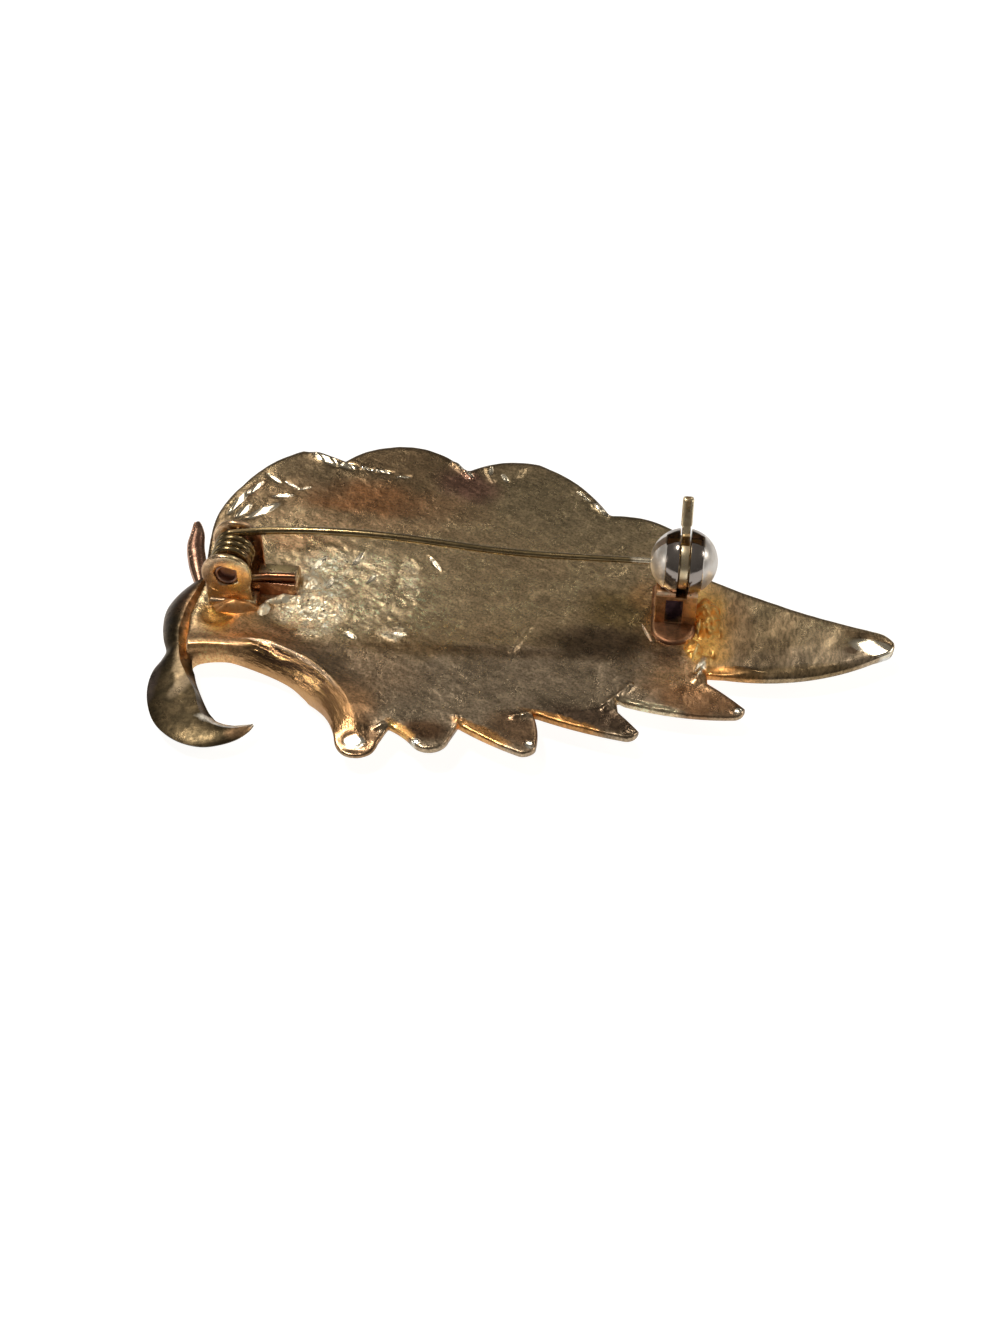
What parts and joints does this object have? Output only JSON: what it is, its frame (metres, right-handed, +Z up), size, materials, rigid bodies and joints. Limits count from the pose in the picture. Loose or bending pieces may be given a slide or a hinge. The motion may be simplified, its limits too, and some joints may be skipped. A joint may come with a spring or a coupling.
{
  "type": "leaf brooch",
  "caption": "Cast leaf brooch lying on its front, with a sprung pin hinged at one end and a ball catch with a turning lever at the other.",
  "frame": {"origin": "centre of the footprint, on the surface that the brooch lies on with its back up", "axes": "+X along the pin from hinge to catch, +Y toward the scalloped edge, +Z up out of the back"},
  "size_m": [0.0563, 0.0348, 0.0111],
  "materials": {
    "leaf_gold": "as-cast gold plate",
    "finding_gold": "polished pale gold plate",
    "wire_gold": "drawn wire, gold plate"
  },
  "bodies": {
    "brooch": {"leaf": "leaf_gold", "hinge_rivet": "finding_gold"},
    "pin": {"pin_stem": "wire_gold"},
    "lever": {"safety_lever": "finding_gold"}
  },
  "joints": [
    {"name": "pin_swing", "type": "hinge", "parent": "brooch", "child": "pin", "pos_m": [-0.02307, -0.00125, 0.00555], "axis": [0, -1, 0], "range_deg": [0, 100]},
    {"name": "lever_turn", "type": "hinge", "parent": "brooch", "child": "lever", "pos_m": [0.0117, -0.0003, 0.00745], "axis": [1, 0, 0], "range_deg": [0, 100]}
  ]
}
